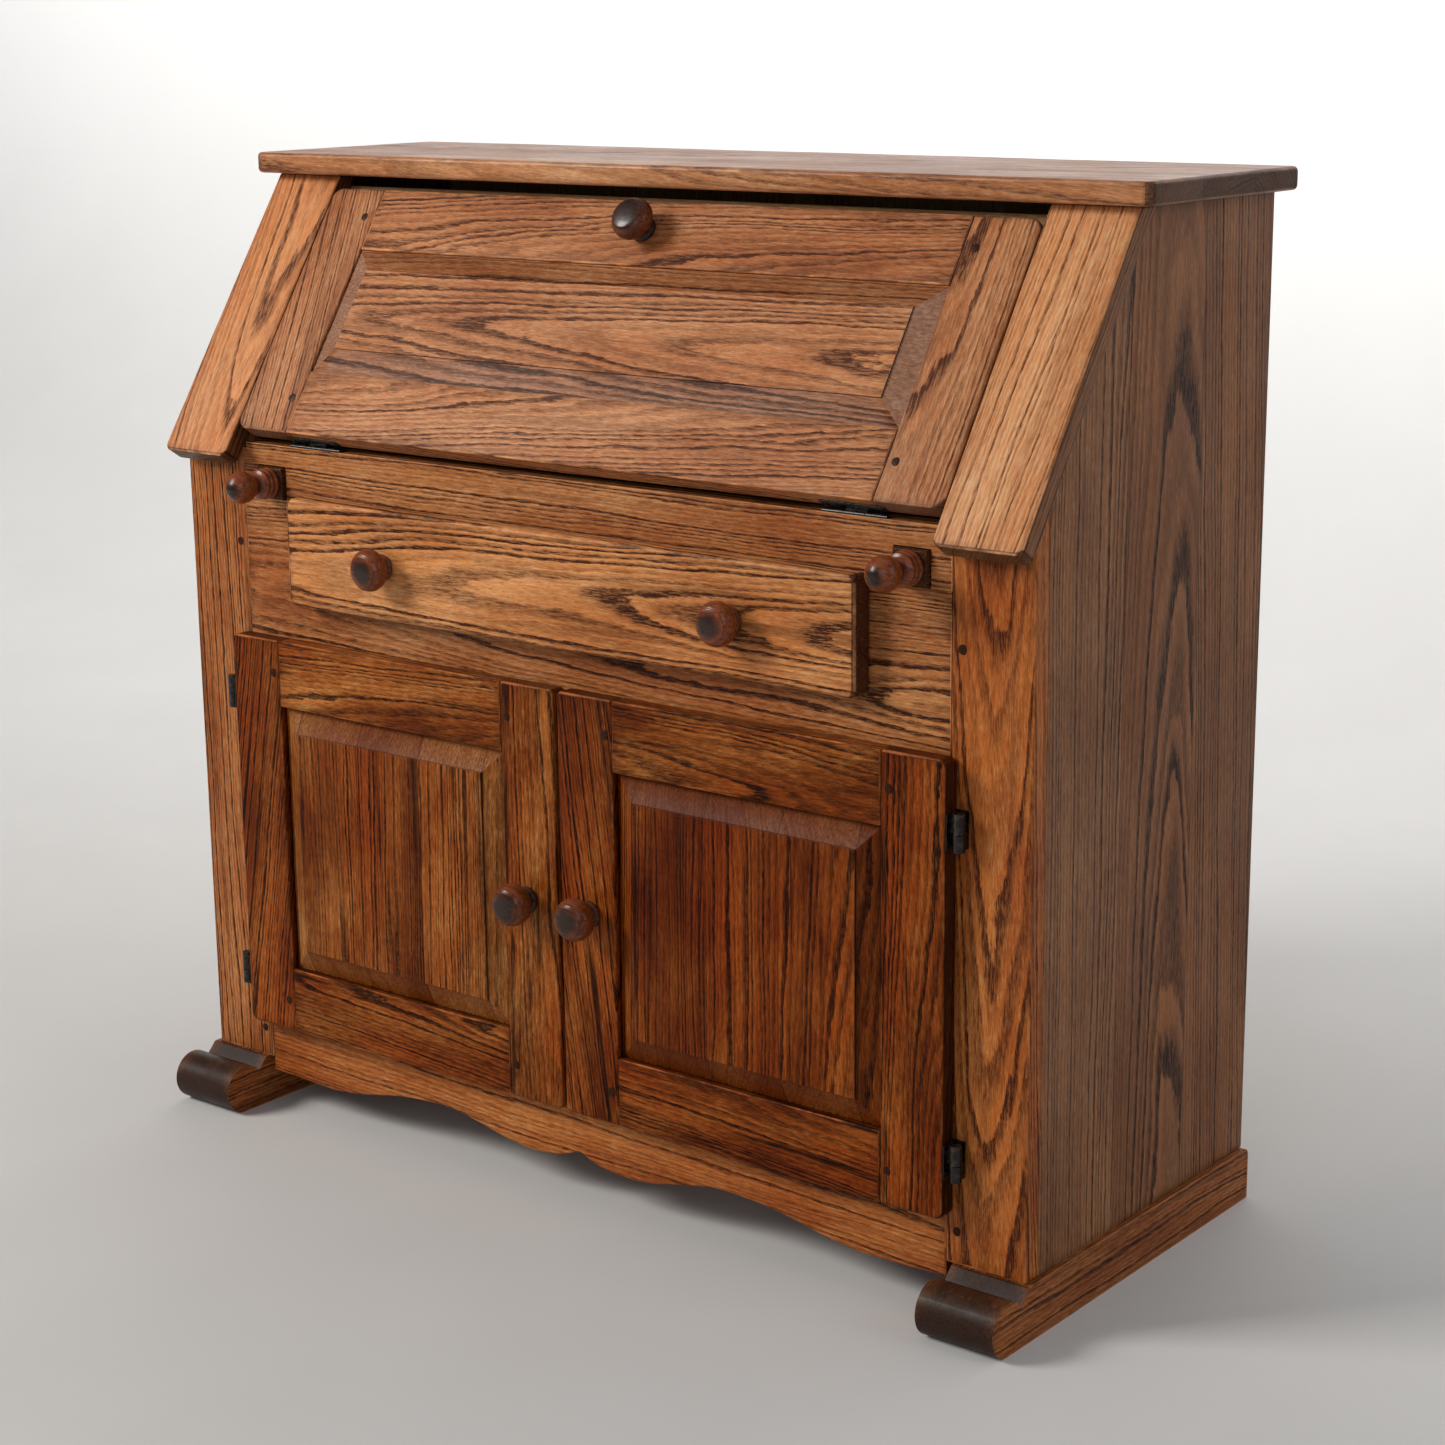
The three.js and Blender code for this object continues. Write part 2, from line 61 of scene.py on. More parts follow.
# ---------- materials ----------
class Tree:
    """Short spelling for building a material's nodes."""

    def __init__(self, name):
        self.material = bpy.data.materials.new(name)
        self.material.use_nodes = True
        self.nodes = self.material.node_tree.nodes
        self.links = self.material.node_tree.links
        self.shader = self.nodes["Principled BSDF"]

    def put(self, socket, value):
        if isinstance(value, bpy.types.NodeSocket):
            self.links.new(value, socket)
        elif socket.type == "RGBA" and len(value) == 3:
            socket.default_value = (*value, 1)
        else:
            socket.default_value = value

    def node(self, kind, inputs=(), **settings):
        made = self.nodes.new("ShaderNode" + kind)
        for key, value in settings.items():
            setattr(made, key, value)
        for key, value in dict(inputs).items():
            self.put(made.inputs[key], value)
        return made

    def attribute(self, name):
        return self.node("Attribute", attribute_name=name)

    def math(self, operation, *values):
        made = self.node("Math", operation=operation)
        for socket, value in zip(made.inputs, values):
            self.put(socket, value)
        return made.outputs[0]

    def vector(self, operation, *values):
        made = self.node("VectorMath", operation=operation)
        sockets = made.inputs if operation != "SCALE" else (made.inputs[0], made.inputs["Scale"])
        for socket, value in zip(sockets, values):
            self.put(socket, value)
        return made.outputs["Vector"]

    def noise(self, vector, scale, detail=2.0, rough=0.5):
        made = self.node("TexNoise", {"Vector": vector, "Scale": scale, "Detail": detail, "Roughness": rough})
        return made.outputs["Fac"]

    def step(self, value, low, high, to_low=0.0, to_high=1.0):
        made = self.node("MapRange", interpolation_type="SMOOTHSTEP")
        for socket, given in zip(made.inputs, (value, low, high, to_low, to_high)):
            self.put(socket, given)
        return made.outputs[0]

    def mix(self, factor, a, b):
        made = self.node("Mix", data_type="RGBA", blend_type="MIX")
        for socket, value in zip((made.inputs[0], made.inputs[6], made.inputs[7]), (factor, a, b)):
            self.put(socket, value)
        return made.outputs[2]

    def bump(self, height, distance, strength=1.0, normal=None):
        made = self.node("Bump", {"Height": height, "Distance": distance, "Strength": strength})
        if normal is not None:
            self.put(made.inputs["Normal"], normal)
        return made.outputs[0]

    def finish(self, color, roughness, normal, **constants):
        self.put(self.shader.inputs["Base Color"], color)
        self.put(self.shader.inputs["Roughness"], roughness)
        self.put(self.shader.inputs["Normal"], normal)
        for key, value in constants.items():
            self.shader.inputs[key.replace("_", " ")].default_value = value
        return self.material


def srgb(r, g, b):
    """An 8-bit display colour as linear values."""
    def linear(c):
        c /= 255
        return c / 12.92 if c <= 0.04045 else ((c + 0.055) / 1.055) ** 2.4
    return tuple(linear(c) for c in (r, g, b))


def oak(name, pale, mid, dark, end, contrast=1.2, gloss=0.38, wear=0.6, coat=0.03, shine=0.1,
        stain=0.5, line=0.55, fine=1.0):
    """Open-grained oak. Growth rings run round a pith that each board places in its "grain"
    attribute; "local" and "half" say where a point lies on its board, "look" holds the ring
    spacing, the board's tone and its strip width, "end" how far the surface cuts the grain, and
    "ease" how wide the arrises are."""
    t = Tree(name)
    local = t.attribute("local").outputs["Vector"]
    half = t.attribute("half").outputs["Vector"]
    look = t.node("SeparateXYZ", {0: t.attribute("look").outputs["Vector"]})
    spacing, tone, strip = look.outputs
    across = t.node("SeparateXYZ", {0: local}).outputs[1]

    # glued-up strips: each has its own piece of the log
    index = t.math("FLOOR", t.math("ADD", t.math("DIVIDE", across, strip), 0.5))
    chance = t.node("TexWhiteNoise", {"Vector": t.node("CombineXYZ", {0: index, 1: tone}).outputs[0]},
                    noise_dimensions="3D")
    moved = t.node("Mapping", {"Vector": chance.outputs["Color"], "Location": (-0.5, -0.5, -0.5),
                               "Scale": (1, 1, 1)}, vector_type="POINT").outputs[0]
    several = t.math("LESS_THAN", strip, 1.0)
    jump = t.vector("MULTIPLY", t.vector("SCALE", moved, several), (0.9, 0.1, 0.05))
    grain = t.vector("ADD", t.attribute("grain").outputs["Vector"], jump)

    # rings, with a slow wander and a fine shiver
    slow = t.noise(t.vector("MULTIPLY", grain, (2.6, 17, 17)), 1.0, 2.0)
    shiver = t.noise(t.vector("MULTIPLY", grain, (22, 120, 120)), 1.0, 2.0, 0.6)
    log = t.node("SeparateXYZ", {0: grain}).outputs
    radius = t.math("SQRT", t.math("ADD", t.math("POWER", log[1], 2.0), t.math("POWER", log[2], 2.0)))
    radius = t.math("ADD", radius, t.math("MULTIPLY", t.math("SUBTRACT", slow, 0.5), 0.017))
    radius = t.math("ADD", radius, t.math("MULTIPLY", t.math("SUBTRACT", shiver, 0.5), 0.0026))
    tremble = t.noise(t.vector("MULTIPLY", grain, (85, 330, 330)), 1.0, 2.0, 0.6)
    radius = t.math("ADD", radius, t.math("MULTIPLY", t.math("SUBTRACT", tremble, 0.5), 0.0014))
    count = t.math("DIVIDE", radius, spacing)
    swell = t.noise(t.vector("MULTIPLY", t.node("CombineXYZ", {0: count}).outputs[0], (0.37, 1, 1)), 1.0, 1.0)
    count = t.math("ADD", count, t.math("MULTIPLY", swell, 1.4))
    phase = t.math("FRACT", count)
    band = t.math("MULTIPLY", t.step(phase, 0.0, 0.12), t.step(phase, 0.26, 0.86, 1.0, 0.0))
    year = t.node("TexWhiteNoise", {"W": t.math("FLOOR", count)}, noise_dimensions="1D").outputs["Value"]
    band = t.math("MULTIPLY", band, t.step(year, 0.0, 1.0, 0.3, 1.1))

    # pores: long thin streaks, thick in the ring's early wood and sparse elsewhere
    streak = t.noise(t.vector("MULTIPLY", grain, (62, 640, 640)), 1.0, 3.5, 0.72)
    pores = t.math("MULTIPLY", t.step(streak, 0.42, 0.6), band)
    loose = t.math("MULTIPLY", t.step(t.noise(t.vector("MULTIPLY", grain, (80, 900, 900)), 1.0, 3.0, 0.7),
                                      0.56, 0.7), 0.5 * fine)
    fibre = t.noise(t.vector("MULTIPLY", grain, (9, 420, 420)), 1.0, 3.0, 0.6)
    depth = t.math("ADD", t.math("MULTIPLY", band, line), t.math("MULTIPLY", pores, 1.15 - line))
    heavy = t.noise(t.vector("MULTIPLY", grain, (2.2, 95, 95)), 1.0, 3.0, 0.6)
    heavy = t.math("MULTIPLY", t.step(heavy, 0.54, 0.68), 0.75 * stain)
    depth = t.math("MAXIMUM", t.math("MAXIMUM", depth, loose), heavy)
    depth = t.math("MINIMUM", t.math("MULTIPLY", depth, contrast), 1.0)

    # colour
    cloud = t.noise(t.vector("MULTIPLY", grain, (3.5, 16, 16)), 1.0, 3.0)
    base = t.mix(t.step(cloud, 0.3, 0.72), pale, mid)
    base = t.mix(t.math("MULTIPLY", t.step(fibre, 0.3, 0.75), 0.28), base, mid)
    base = t.mix(depth, base, dark)
    cut_across = t.attribute("end").outputs["Fac"]
    base = t.mix(t.math("MULTIPLY", t.step(cut_across, 0.08, 0.24), 0.85), base, end)

    # stain: a darker board, strip, patch or fibre is also a redder one
    blotch = t.noise(t.vector("MULTIPLY", local, (6, 15, 15)), 1.0, 4.0, 0.62)
    fleck = t.noise(t.vector("MULTIPLY", grain, (75, 620, 620)), 1.0, 4.0, 0.75)
    soak = t.math("SUBTRACT", 1.0, tone)
    soak = t.math("ADD", soak, t.math("MULTIPLY", t.math("SUBTRACT", blotch, 0.5), 1.3 * stain))
    soak = t.math("ADD", soak, t.math("MULTIPLY", t.math("SUBTRACT", fleck, 0.5), 1.5 * fine))
    soak = t.math("ADD", soak, t.math("MULTIPLY", t.math("SUBTRACT", chance.outputs["Value"], 0.5),
                                      t.math("MULTIPLY", several, 0.3)))
    base = t.node("Gamma", {"Color": base, "Gamma": soak}).outputs[0]

    # seams between strips; darker bands near the edges, partly stain that gathers there and partly painted
    # shade; and pale arrises, partly polish rubbed off and partly painted highlight
    place = t.math("ABSOLUTE", t.math("SUBTRACT", t.math("FRACT", t.math("ADD",
                   t.math("DIVIDE", across, strip), 0.5)), 0.5))
    seam = t.math("MULTIPLY", t.step(t.math("MULTIPLY", t.math("SUBTRACT", 0.5, place), strip),
                                     0.0002, 0.0011, 1.0, 0.0), several)
    inset = t.node("SeparateXYZ", {0: t.vector("SUBTRACT", half, t.vector("ABSOLUTE", local))}).outputs
    total = t.math("ADD", t.math("ADD", inset[0], inset[1]), inset[2])
    widest = t.math("MAXIMUM", t.math("MAXIMUM", inset[0], inset[1]), inset[2])
    edge = t.math("SUBTRACT", total, widest)
    ragged = t.noise(t.vector("SCALE", local, 60.0), 1.0, 3.0, 0.6)
    # darker within about 11 mm of each arris: gathered stain plus painted shade near edges and joints
    grime_and_shade = t.math("MULTIPLY", t.step(edge, 0.0015, 0.011, 1.0, 0.0), t.step(ragged, 0.3, 0.65, 0.1, 0.55))
    base = t.mix(t.math("MULTIPLY", grime_and_shade, 0.6), base, dark)
    base = t.mix(t.math("MULTIPLY", seam, 0.6), base, dark)
    # pale band along each arris: polish rubbed off there, and partly a painted highlight on the eased edge
    rub_and_highlight_noise = t.noise(t.vector("SCALE", local, 23.0), 1.0, 4.0, 0.65)
    ease = t.attribute("ease").outputs["Fac"]
    rim = t.math("ADD", edge, t.math("MULTIPLY", t.math("SUBTRACT", rub_and_highlight_noise, 0.5), 0.005))
    rubbed = t.step(rim, t.math("MULTIPLY", ease, 0.3), t.math("ADD", ease, 0.0006), 1.0, 0.0)
    rubbed = t.math("MULTIPLY", rubbed, wear)
    worn_and_highlight_pale = tuple(min(1.0, c * 1.35 + 0.02) for c in pale)
    base = t.mix(rubbed, base, worn_and_highlight_pale)

    patchy = t.noise(t.vector("SCALE", local, 9.0), 1.0, 3.0)
    rough = t.step(patchy, 0.2, 0.8, gloss - 0.06, gloss + 0.08)
    rough = t.math("ADD", rough, t.math("MULTIPLY", depth, 0.16))
    ripple = t.noise(t.vector("MULTIPLY", local, (5, 24, 24)), 1.0, 1.0)
    hollow = t.math("SUBTRACT", t.math("MULTIPLY", fibre, 0.2), depth)
    normal = t.bump(hollow, 0.00022, 0.75, t.bump(ripple, 0.0012, 0.35))
    return t.finish(base, rough, normal, Coat_Weight=coat, Coat_Roughness=0.22, Specular_IOR_Level=shine)


def dark_polish(name, base_colour, rubbed_and_sheen_colour, gloss, coat, shine):
    """Nearly black stain under polish on turned or shaped wood, lighter and reddish where its "high"
    attribute is large: rubbed high points, and on the toe also a painted highlight toward the top of its
    roll.
    """
    t = Tree(name)
    local = t.attribute("local").outputs["Vector"]
    grain = t.attribute("grain").outputs["Vector"]
    fibre = t.noise(t.vector("MULTIPLY", grain, (40, 420, 420)), 1.0, 3.0, 0.62)
    cloud = t.noise(t.vector("SCALE", grain, 34.0), 1.0, 3.0)
    high = t.attribute("high").outputs["Fac"]
    # lighter reddish mask: rubbed wear, and on the toe partly a painted highlight
    rubbed = t.math("MULTIPLY", t.step(t.math("ADD", high, t.math("MULTIPLY", cloud, 0.7)), 0.72, 1.35), 0.85)
    base = t.mix(t.step(fibre, 0.35, 0.7), base_colour, tuple(c * 0.45 for c in base_colour))
    fibrous = t.mix(t.step(fibre, 0.35, 0.65), rubbed_and_sheen_colour, tuple(c * 0.5 for c in rubbed_and_sheen_colour))
    base = t.mix(rubbed, base, fibrous)
    chips = t.step(t.noise(t.vector("SCALE", local, 150.0), 1.0, 3.0, 0.7), 0.66, 0.72)
    chips = t.math("MULTIPLY", chips, high)
    base = t.mix(t.math("MULTIPLY", chips, 0.5), base, srgb(150, 120, 90))
    rough = t.step(cloud, 0.25, 0.8, gloss - 0.05, gloss + 0.13)
    normal = t.bump(fibre, 0.00018, 0.5, t.bump(cloud, 0.0008, 0.25))
    return t.finish(base, rough, normal, Coat_Weight=coat, Coat_Roughness=0.12, Specular_IOR_Level=shine)


def black_iron(name):
    """Lacquered iron with a faint orange-peel skin and patches of brown wear."""
    t = Tree(name)
    place = t.attribute("local").outputs["Vector"]
    speck = t.noise(t.vector("SCALE", place, 900.0), 1.0, 3.0)
    cloud = t.noise(t.vector("SCALE", place, 120.0), 1.0, 3.0)
    high = t.attribute("high").outputs["Fac"]
    rubbed = t.math("MULTIPLY", high, t.step(cloud, 0.45, 0.7))
    base = t.mix(t.step(cloud, 0.3, 0.7), srgb(15, 11, 9), srgb(27, 20, 16))
    base = t.mix(t.math("MULTIPLY", rubbed, 0.6), base, srgb(104, 88, 70))
    rough = t.step(cloud, 0.2, 0.8, 0.2, 0.34)
    return t.finish(base, rough, t.bump(speck, 0.00012, 0.4), Specular_IOR_Level=0.35)


def moulded(name, colour):
    """Fine-textured plastic of the door catch."""
    t = Tree(name)
    place = t.attribute("local").outputs["Vector"]
    speck = t.noise(t.vector("SCALE", place, 1400.0), 1.0, 2.0)
    cloud = t.noise(t.vector("SCALE", place, 70.0), 1.0, 2.0)
    base = t.mix(cloud, colour, tuple(c * 0.7 for c in colour))
    return t.finish(base, t.step(cloud, 0.2, 0.8, 0.5, 0.62), t.bump(speck, 0.0001, 0.35))


MATERIALS = {
    "top_oak": oak("top_oak", srgb(190, 130, 84), srgb(156, 94, 52), srgb(84, 42, 20), srgb(84, 52, 36),
                   contrast=0.9, gloss=0.36, coat=0.08, shine=0.16),
    "side_oak": oak("side_oak", srgb(150, 98, 60), srgb(124, 80, 50), srgb(46, 27, 20), srgb(66, 40, 26),
                    contrast=1.0, stain=0.3, line=0.62, fine=0.6),
    "pilaster_oak": oak("pilaster_oak", srgb(222, 158, 106), srgb(192, 127, 80), srgb(94, 52, 26),
                        srgb(66, 38, 22), contrast=0.88, wear=1.0),
    "frame_oak": oak("frame_oak", srgb(194, 128, 74), srgb(162, 95, 50), srgb(58, 25, 10), srgb(62, 32, 16),
                     contrast=1.3),
    "stile_oak": oak("stile_oak", srgb(188, 110, 50), srgb(156, 83, 37), srgb(70, 32, 12), srgb(62, 30, 12),
                     contrast=1.1),
    "fall_oak": oak("fall_oak", srgb(196, 131, 84), srgb(167, 103, 61), srgb(76, 38, 19), srgb(112, 76, 58),
                    wear=0.8),
    "drawer_oak": oak("drawer_oak", srgb(218, 148, 90), srgb(184, 116, 64), srgb(62, 28, 10),
                      srgb(62, 34, 18), contrast=1.3, wear=0.9),
    "fall_slope": oak("fall_slope", srgb(160, 102, 62), srgb(134, 78, 44), srgb(60, 30, 15),
                      srgb(142, 102, 80), contrast=1.2),
    "door_oak": oak("door_oak", srgb(170, 91, 34), srgb(115, 56, 15), srgb(42, 17, 3), srgb(100, 52, 20),
                    contrast=1.25, wear=0.7, stain=1.0, coat=0.02, shine=0.06),
    "door_slope": oak("door_slope", srgb(166, 94, 38), srgb(116, 58, 18), srgb(42, 17, 4),
                      srgb(116, 62, 24), contrast=1.2, stain=0.8, coat=0.02, shine=0.06),
    "runner_oak": oak("runner_oak", srgb(160, 93, 44), srgb(133, 71, 31), srgb(58, 28, 12),
                      srgb(56, 30, 16)),
    "inner_wood": oak("inner_wood", srgb(196, 160, 116), srgb(176, 138, 92), srgb(128, 92, 58),
                      srgb(130, 96, 64), contrast=0.6, gloss=0.6, wear=0.2, coat=0.0),
    "edge_oak": oak("edge_oak", srgb(96, 52, 24), srgb(70, 34, 14), srgb(30, 12, 4), srgb(76, 40, 22),
                    wear=0.5),
    "loper_oak": oak("loper_oak", srgb(104, 58, 28), srgb(76, 40, 18), srgb(30, 14, 6), srgb(66, 34, 16),
                     wear=0.5),
    "dark_wood": dark_polish("dark_wood", srgb(46, 23, 12), srgb(146, 72, 34), gloss=0.28, coat=0.13,
                             shine=0.26),
    "toe_stain": dark_polish("toe_stain", srgb(54, 32, 20), srgb(104, 62, 36), gloss=0.42, coat=0.03,
                             shine=0.16),
    "peg_wood": dark_polish("peg_wood", srgb(56, 28, 13), srgb(84, 46, 24), gloss=0.4, coat=0.0, shine=0.1),
    "iron": black_iron("iron"),
    "catch": moulded("catch", srgb(66, 54, 42)),
}


# ---------- mesh helpers ----------
def set_attribute(mesh, name, kind, domain, values):
    layer = mesh.attributes.new(name, kind, domain)
    key = "vector" if kind == "FLOAT_VECTOR" else "value"
    layer.data.foreach_set(key, np.asarray(values, np.float32).ravel())


def cad_copy(node, flat):
    """Copy of a CAD piece, with faces that meet at less than the given angle joined."""
    bm = bmesh.new()
    bm.from_mesh(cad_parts[node].data)
    bmesh.ops.remove_doubles(bm, verts=bm.verts, dist=WELD)
    bmesh.ops.dissolve_limit(bm, angle_limit=flat, verts=bm.verts, edges=bm.edges)
    return bm


def corners(bm, crease=math.radians(28)):
    """Convex edges sharper than the crease."""
    return [e for e in bm.edges if len(e.link_faces) == 2 and e.is_convex and e.calc_face_angle() > crease]


def soften(bm, edges, width, segments=3):
    if edges:
        bmesh.ops.bevel(bm, geom=edges, offset=width, offset_type="OFFSET", segments=segments,
                        profile=0.5, affect="EDGES", clamp_overlap=True)


def slice_along(bm, axis, step):
    """Cuts the mesh square to an axis, so that its long edges have points to move."""
    spans = [v.co.dot(axis) for v in bm.verts]
    low, high = min(spans), max(spans)
    cuts = int((high - low) / step)
    for i in range(1, cuts):
        place = low + (high - low) * i / cuts
        bmesh.ops.bisect_plane(bm, geom=[*bm.verts, *bm.edges, *bm.faces], dist=1e-6,
                               plane_co=axis * place, plane_no=axis)


def frame_of(bm, axes):
    """Centre and half size of a mesh along three axes."""
    spans = [[v.co.dot(axis) for v in bm.verts] for axis in axes]
    low = [min(s) for s in spans]
    high = [max(s) for s in spans]
    centre = sum((axis * (a + b) / 2 for axis, a, b in zip(axes, low, high)), Vector())
    return centre, Vector([(b - a) / 2 for a, b in zip(low, high)])


def hand_worked(bm, axes, centre, half, amount, seed):
    """Lets the arrises wander a little, as hand-planed ones do. The board never grows."""
    for v in bm.verts:
        place = v.co - centre
        near = [half[i] - abs(place.dot(axes[i])) for i in range(3)]
        if sorted(near)[1] > 0.006:
            continue
        for i in (1, 2):
            wave = noise.noise(Vector((place.dot(axes[0]) * 11, seed + i * 7.3, place.dot(axes[3 - i]) * 9)))
            fine = noise.noise(Vector((place.dot(axes[0]) * 45, seed + i * 3.1, 5.0)))
            inward = amount * (0.5 + 0.5 * wave + 0.22 * fine)
            v.co -= axes[i] * math.copysign(max(0.0, min(inward, amount * 1.3)), place.dot(axes[i]))


def make_piece(name, bm, body, slot, replaces=(), materials=None, smooth=math.radians(38)):
    bmesh.ops.recalc_face_normals(bm, faces=bm.faces)
    mesh = bpy.data.meshes.new(name)
    bm.to_mesh(mesh)
    bm.free()
    piece = bpy.data.objects.new(name, mesh)
    bpy.context.scene.collection.objects.link(piece)
    for key in materials or (slot,):
        mesh.materials.append(MATERIALS[key])
    mesh.shade_smooth()
    mesh.set_sharp_from_angle(angle=smooth)
    weighted = piece.modifiers.new("weighted", "WEIGHTED_NORMAL")
    weighted.keep_sharp = True
    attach(piece, body)
    if replaces:
        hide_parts(*replaces)
    return piece


def log_place(name, style, spacing):
    """Where a board was cut from its log: (pith across, pith depth, slant, dive, ring spacing)."""
    pick = random.Random(name)
    if style == "crown":        # flat-sawn: tall arches down the middle
        return (pick.uniform(-12, 12), pick.uniform(38, 60), pick.uniform(-1.5, 1.5),
                pick.choice((-1, 1)) * pick.uniform(2.4, 3.6), spacing)
    if style == "side_crown":   # arches to one side, straight lines on the other
        return (pick.choice((-1, 1)) * pick.uniform(28, 50), pick.uniform(40, 70), pick.uniform(-2, 2),
                pick.choice((-1, 1)) * pick.uniform(1.8, 3.0), spacing)
    if style == "slant":        # straight lines that run across the board at an angle
        return (pick.choice((-1, 1)) * 160, 110, pick.choice((-1, 1)) * pick.uniform(7, 11), 0.6, spacing)
    return (pick.choice((-1, 1)) * pick.uniform(120, 180), pick.uniform(90, 150), pick.uniform(-1.5, 1.5),
            pick.uniform(-1.0, 1.0), spacing)


def grain_attributes(mesh, axes, centre, half, name, place, tone, strip, high=None, ease=1.0):
    """Writes the attributes that the wood materials read."""
    pith_w, pith_t, slant, dive, spacing = place
    pick = random.Random("log " + name)
    co = np.array([v.co for v in mesh.vertices], float).reshape(-1, 3) - np.array(centre)
    local = co @ np.array([list(a) for a in axes]).T
    a, b = math.radians(slant), math.radians(dive)
    turn = np.array(Matrix.Rotation(a, 3, "Z") @ Matrix.Rotation(b, 3, "Y"))
    grain = local @ turn.T + np.array([pick.uniform(-3, 3), -pith_w * MM, pith_t * MM])
    set_attribute(mesh, "local", "FLOAT_VECTOR", "POINT", local)
    set_attribute(mesh, "grain", "FLOAT_VECTOR", "POINT", grain)
    count = len(mesh.vertices)
    set_attribute(mesh, "half", "FLOAT_VECTOR", "POINT", np.tile(half, (count, 1)))
    set_attribute(mesh, "look", "FLOAT_VECTOR", "POINT", np.tile((spacing * MM, tone, strip), (count, 1)))
    normals = np.array([p.normal for p in mesh.polygons], float).reshape(-1, 3)
    set_attribute(mesh, "end", "FLOAT", "FACE", np.abs(normals @ np.array(axes[0])))
    set_attribute(mesh, "high", "FLOAT", "POINT", np.zeros(count) if high is None else high)
    set_attribute(mesh, "ease", "FLOAT", "POINT", np.full(count, ease * MM))


# ---------- boards ----------
# axes of a board: along its grain, across its face, out of its face
AXES = {
    "front_x": (X, Z, -Y), "front_z": (Z, X, -Y), "slope_x": (X, UP, OUT), "slope_up": (UP, X, OUT),
    "flat_x": (X, Y, Z), "side_z": (Z, Y, X), "side_y": (Y, Z, X),
}

# How squarely a face looks outward or sideways, as a cosine: below these it is a raised panel's step
# and then its slope, and above the last it takes a board's second wood.
STEP_BELOW, SLOPE_BELOW, SIDE_ABOVE = 0.55, 0.985, 0.8


def board(node, body, slot, axes, style="rift", spacing=3.6, tone=0.0, strip=UNSTRIPPED, soft=1.6, rough=0.35,
          edges=None, place=None, wood=None, outward=None):
    """A CAD board with eased, slightly wandering arrises and its own piece of the log. A second wood
    is for its faces that are turned to the side, which are stained darker. A raised panel, whose
    field faces outward, has three woods: field, step round the field and slope."""
    ax = AXES[axes]
    bm = cad_copy(node, math.radians(0.6))
    chosen = [e for e in corners(bm) if edges is None or edges(e)]
    soften(bm, chosen, soft * MM)
    centre, half = frame_of(bm, ax)
    slice_along(bm, ax[0], 0.02)
    if rough:
        hand_worked(bm, ax, centre, half, rough * MM, random.Random(node).uniform(0, 90))
    piece = make_piece(node + "_wood", bm, body, slot, (node,), wood)
    if outward:
        for face in piece.data.polygons:
            facing = abs(face.normal.dot(outward))
            face.material_index = 1 if facing < STEP_BELOW else 2 if facing < SLOPE_BELOW else 0
    elif wood and len(wood) > 1:
        for face in piece.data.polygons:
            face.material_index = int(abs(face.normal.x) > SIDE_ABOVE)
    grain_attributes(piece.data, ax, centre, half, node, place or log_place(node, style, spacing),
                     tone, strip, ease=soft * 0.8)


def outside(node, axes, groove):
    """Picks the arrises that aren't in a frame's groove, which lies between two depths below its face."""
    face = max(v.co.dot(AXES[axes][2]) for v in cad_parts[node].data.vertices)

    def keep(edge):
        depth = [face - v.co.dot(AXES[axes][2]) for v in edge.verts]
        return not all(groove[0] - 0.5 < d / MM < groove[1] + 0.5 for d in depth)
    return keep


